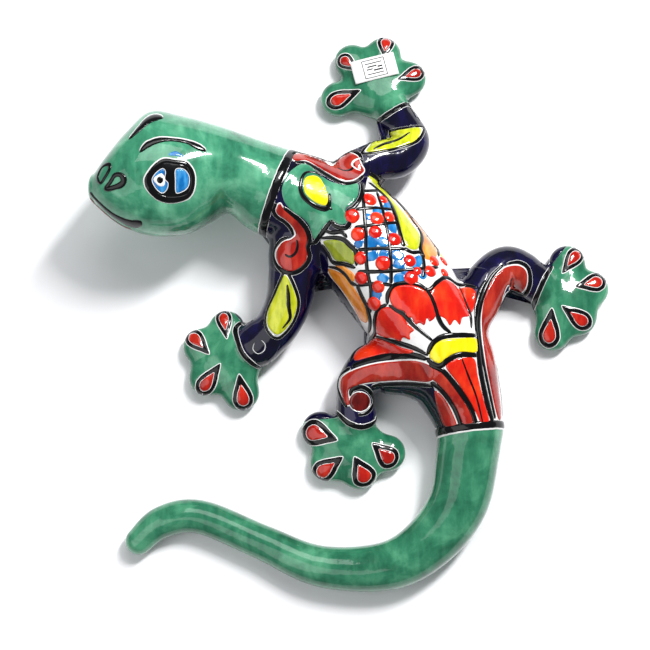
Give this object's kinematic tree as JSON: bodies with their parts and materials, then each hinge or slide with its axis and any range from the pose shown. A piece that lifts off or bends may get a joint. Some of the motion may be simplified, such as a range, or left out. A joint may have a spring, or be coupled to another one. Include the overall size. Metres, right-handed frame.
{
  "type": "ceramic gecko wall figure",
  "caption": "Hollow glazed earthenware gecko for a wall, with raised head, splayed legs, curled tail and painted scroll, leaf and flower decoration.",
  "frame": {"origin": "centre of the bounding box, on the plane of the wall that the figure rests against", "axes": "+Y up the wall from the tail's bend to the raised front foot, +X to the right of a viewer who faces the wall, +Z out of the wall"},
  "size_m": [0.2697, 0.2971, 0.073],
  "materials": {
    "green_glaze": "glossy variegated teal-green glaze",
    "white_glaze": "glossy white tin glaze",
    "navy_glaze": "glossy navy glaze",
    "black_line": "raised black enamel line",
    "brick_glaze": "glossy brick-red enamel",
    "red_glaze": "glossy orange-red enamel",
    "yellow_glaze": "glossy yellow enamel",
    "orange_glaze": "glossy orange and yellow enamel",
    "olive_glaze": "glossy yellow-green enamel",
    "eye_glaze": "glossy white, blue and black enamel",
    "bare_clay": "unglazed fired earthenware",
    "label_paper": "matt white self-adhesive paper"
  },
  "bodies": {
    "root": {"head_shell": "green_glaze", "neck_band": "black_line", "torso_shell": "white_glaze", "belly_plate": "bare_clay", "tail_shell": "green_glaze", "tail_band": "black_line", "front_right_leg": "navy_glaze", "front_left_leg": "navy_glaze", "hind_left_leg": "navy_glaze", "hind_right_leg": "navy_glaze", "front_right_foot": "green_glaze", "front_left_foot": "green_glaze", "hind_left_foot": "green_glaze", "hind_right_foot": "green_glaze", "left_eye": "eye_glaze", "right_eye": "eye_glaze", "face_lines": "black_line", "shoulder_glaze": "green_glaze", "side_strips": "orange_glaze", "petals": "red_glaze", "flower_heart": "yellow_glaze", "back_dots": "red_glaze", "shoulder_scrolls": "brick_glaze", "hip_scrolls": "brick_glaze", "leg_leaves": "olive_glaze", "front_right_nails": "brick_glaze", "front_left_nails": "brick_glaze", "hind_left_nails": "brick_glaze", "hind_right_nails": "brick_glaze", "paper_label": "label_paper"}
  },
  "joints": []
}
